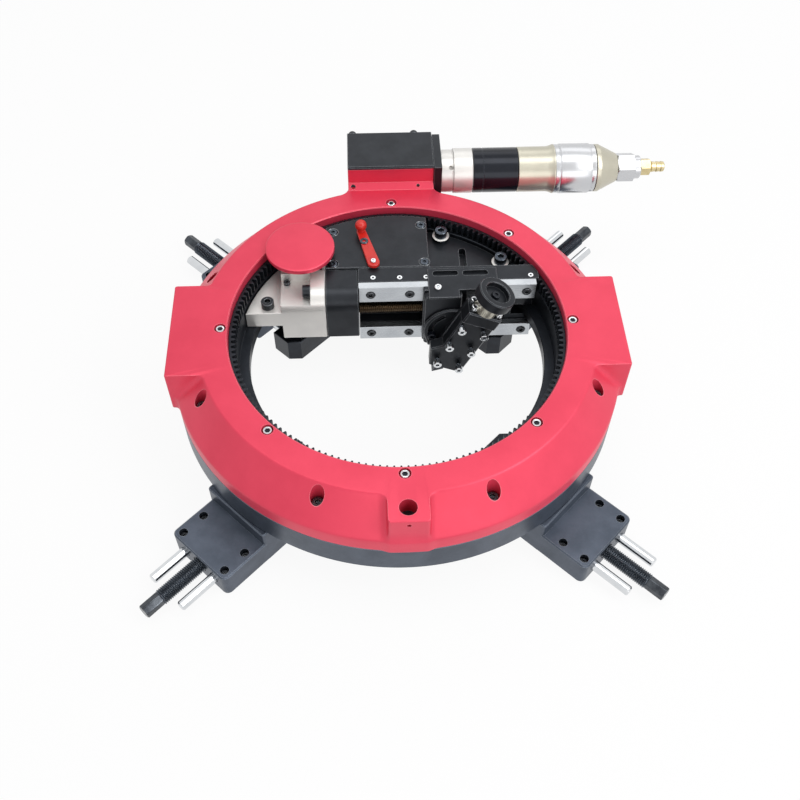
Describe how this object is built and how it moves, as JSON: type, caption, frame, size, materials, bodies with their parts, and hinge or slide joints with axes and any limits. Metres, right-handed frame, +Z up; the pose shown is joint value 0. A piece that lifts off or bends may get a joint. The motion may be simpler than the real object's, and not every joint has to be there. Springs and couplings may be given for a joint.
{
  "type": "portable flange facing lathe",
  "caption": "Ring-shaped portable lathe on four clamp legs, with an air motor that turns a tool arm inside the ring to face pipe flanges.",
  "frame": {"origin": "on the floor, under the middle of the whole outline", "axes": "+X along the air motor to its inlet, +Y to the drive box at the rear, +Z up along the ring's axis"},
  "size_m": [0.5462, 0.5012, 0.1555],
  "materials": {
    "red_anodised": "red anodised, satin",
    "dark_steel": "phosphated dark grey steel, satin",
    "black_oxide": "black oxide, satin",
    "bare_aluminium": "blasted, clear",
    "ground_steel": "ground bright steel",
    "champagne_anodised": "champagne anodised",
    "brass": "turned",
    "chrome": "hard chrome, polished",
    "signal_red": "signal red enamel"
  },
  "bodies": {
    "frame": {"cover_ring": "red_anodised", "base_ring": "dark_steel", "feed_ring_gear": "dark_steel", "bearing_outer_race": "ground_steel", "drive_cap": "black_oxide", "motor_flange": "black_oxide", "motor_adapter": "bare_aluminium", "motor_gearcase": "black_oxide", "motor_body": "champagne_anodised", "motor_end_cone": "champagne_anodised", "inlet_nut": "ground_steel", "inlet_nipple": "brass", "pinion_bearing_upper": "ground_steel", "pinion_bearing_lower": "ground_steel", "clamp_block_rear_right": "dark_steel", "clamp_block_rear_left": "dark_steel", "clamp_block_front_left": "dark_steel", "clamp_block_front_right": "dark_steel"},
    "rotor": {"rotor_ring": "dark_steel", "rotor_gear": "dark_steel", "bearing_inner_race": "ground_steel", "arm_plate": "black_oxide", "gear_cover": "black_oxide", "feed_bracket": "bare_aluminium", "bearing_block": "black_oxide", "slide_base": "black_oxide", "rail_upper": "ground_steel", "rail_lower": "ground_steel"},
    "cage": {"bearing_roller_cage": "brass"},
    "pinion": {"pinion_shaft": "ground_steel", "drive_bevel_gear": "ground_steel"},
    "motor_rotor": {"motor_shaft": "ground_steel"},
    "throttle": {"throttle_sleeve": "ground_steel"},
    "feed_pinion": {"feed_pinion": "ground_steel"},
    "handwheel": {"feed_handwheel": "red_anodised"},
    "lead_screw": {"lead_screw": "brass"},
    "carriage": {"carriage": "black_oxide", "swivel_plate": "black_oxide"},
    "tool_head": {"tool_base": "black_oxide", "graduated_collar": "ground_steel"},
    "depth_knob": {"depth_knob": "black_oxide"},
    "tool_slide": {"tool_slide": "black_oxide", "tool_bit": "ground_steel"},
    "selector_lever": {"selector_lever": "signal_red"},
    "jaw_rear_right": {"jaw_rear_right": "dark_steel", "guide_rod_a_rear_right": "chrome", "guide_rod_b_rear_right": "chrome"},
    "jack_rear_right": {"jack_screw_rear_right": "black_oxide"},
    "jaw_rear_left": {"jaw_rear_left": "dark_steel", "guide_rod_a_rear_left": "chrome", "guide_rod_b_rear_left": "chrome"},
    "jack_rear_left": {"jack_screw_rear_left": "black_oxide"},
    "jaw_front_left": {"jaw_front_left": "dark_steel", "guide_rod_a_front_left": "chrome", "guide_rod_b_front_left": "chrome"},
    "jack_front_left": {"jack_screw_front_left": "black_oxide"},
    "jaw_front_right": {"jaw_front_right": "dark_steel", "guide_rod_a_front_right": "chrome", "guide_rod_b_front_right": "chrome"},
    "jack_front_right": {"jack_screw_front_right": "black_oxide"}
  },
  "joints": [
    {"name": "rotor_spin", "type": "hinge", "parent": "frame", "child": "rotor", "pos_m": [-0.0299, -0.0074, 0.107], "axis": [0, 0, 1], "continuous": true},
    {"name": "cage_spin", "type": "hinge", "parent": "frame", "child": "cage", "pos_m": [-0.0299, -0.0074, 0.0597], "axis": [0, 0, 1], "continuous": true},
    {"name": "pinion_spin", "type": "hinge", "parent": "frame", "child": "pinion", "pos_m": [-0.0299, 0.2146, 0.126], "axis": [0, 0, 1], "continuous": true},
    {"name": "motor_spin", "type": "hinge", "parent": "frame", "child": "motor_rotor", "pos_m": [-0.0299, 0.2146, 0.126], "axis": [1, 0, 0], "continuous": true},
    {"name": "throttle_turn", "type": "hinge", "parent": "frame", "child": "throttle", "pos_m": [0.1701, 0.2146, 0.126], "axis": [1, 0, 0], "range_deg": [0, 60]},
    {"name": "feed_pinion_spin", "type": "hinge", "parent": "rotor", "child": "feed_pinion", "pos_m": [-0.1249, 0.09269, 0.114], "axis": [0, 0, 1], "continuous": true},
    {"name": "handwheel_spin", "type": "hinge", "parent": "rotor", "child": "handwheel", "pos_m": [-0.1249, 0.09269, 0.131], "axis": [0, 0, 1], "range_deg": [-5400, 11160]},
    {"name": "lead_screw_spin", "type": "hinge", "parent": "rotor", "child": "lead_screw", "pos_m": [-0.0299, 0.0556, 0.083], "axis": [1, 0, 0], "range_deg": [-5400, 11160]},
    {"name": "carriage_slide", "type": "slide", "parent": "rotor", "child": "carriage", "axis": [-1, 0, 0], "range_m": [-0.03, 0.062]},
    {"name": "selector_turn", "type": "hinge", "parent": "rotor", "child": "selector_lever", "pos_m": [-0.0509, 0.0771, 0.126], "axis": [0, 0, 1], "range_deg": [-20, 20]},
    {"name": "tool_swivel", "type": "hinge", "parent": "carriage", "child": "tool_head", "pos_m": [0.0291, 0.0276, 0.0753], "axis": [0, -1, 0], "range_deg": [0, 24]},
    {"name": "depth_knob_spin", "type": "hinge", "parent": "tool_head", "child": "depth_knob", "pos_m": [0.06396, 0.0166, 0.13329], "axis": [0.4067, 0, 0.9135], "range_deg": [0, 6480]},
    {"name": "tool_slide_travel", "type": "slide", "parent": "tool_head", "child": "tool_slide", "axis": [-0.4067, 0, -0.9135], "range_m": [0, 0.018]},
    {"name": "jaw_slide_rear_right", "type": "slide", "parent": "frame", "child": "jaw_rear_right", "axis": [-0.7071, -0.7071, 0], "range_m": [-0.023, 0.04]},
    {"name": "jack_spin_rear_right", "type": "hinge", "parent": "jaw_rear_right", "child": "jack_rear_right", "pos_m": [0.11152, 0.13402, 0.015], "axis": [-0.7071, -0.7071, 0], "range_deg": [-4140, 7200]},
    {"name": "jaw_slide_rear_left", "type": "slide", "parent": "frame", "child": "jaw_rear_left", "axis": [0.7071, -0.7071, 0], "range_m": [-0.023, 0.04]},
    {"name": "jack_spin_rear_left", "type": "hinge", "parent": "jaw_rear_left", "child": "jack_rear_left", "pos_m": [-0.17132, 0.13402, 0.015], "axis": [0.7071, -0.7071, 0], "range_deg": [-4140, 7200]},
    {"name": "jaw_slide_front_left", "type": "slide", "parent": "frame", "child": "jaw_front_left", "axis": [0.7071, 0.7071, 0], "range_m": [-0.023, 0.04]},
    {"name": "jack_spin_front_left", "type": "hinge", "parent": "jaw_front_left", "child": "jack_front_left", "pos_m": [-0.17132, -0.14882, 0.015], "axis": [0.7071, 0.7071, 0], "range_deg": [-4140, 7200]},
    {"name": "jaw_slide_front_right", "type": "slide", "parent": "frame", "child": "jaw_front_right", "axis": [-0.7071, 0.7071, 0], "range_m": [-0.023, 0.04]},
    {"name": "jack_spin_front_right", "type": "hinge", "parent": "jaw_front_right", "child": "jack_front_right", "pos_m": [0.11152, -0.14882, 0.015], "axis": [-0.7071, 0.7071, 0], "range_deg": [-4140, 7200]}
  ],
  "couplings": [
    {"joint": "cage_spin", "follows": "rotor_spin", "ratio": 0.48991},
    {"joint": "pinion_spin", "follows": "rotor_spin", "ratio": -11.333},
    {"joint": "motor_spin", "follows": "rotor_spin", "ratio": -11.333},
    {"joint": "feed_pinion_spin", "follows": "rotor_spin", "ratio": -7.9},
    {"joint": "lead_screw_spin", "follows": "carriage_slide", "rad_per_m": 3141.6},
    {"joint": "handwheel_spin", "follows": "carriage_slide", "rad_per_m": 3141.6},
    {"joint": "depth_knob_spin", "follows": "tool_slide_travel", "rad_per_m": 6283.2},
    {"joint": "jack_spin_rear_right", "follows": "jaw_slide_rear_right", "rad_per_m": 3141.6},
    {"joint": "jack_spin_rear_left", "follows": "jaw_slide_rear_left", "rad_per_m": 3141.6},
    {"joint": "jack_spin_front_left", "follows": "jaw_slide_front_left", "rad_per_m": 3141.6},
    {"joint": "jack_spin_front_right", "follows": "jaw_slide_front_right", "rad_per_m": 3141.6}
  ]
}
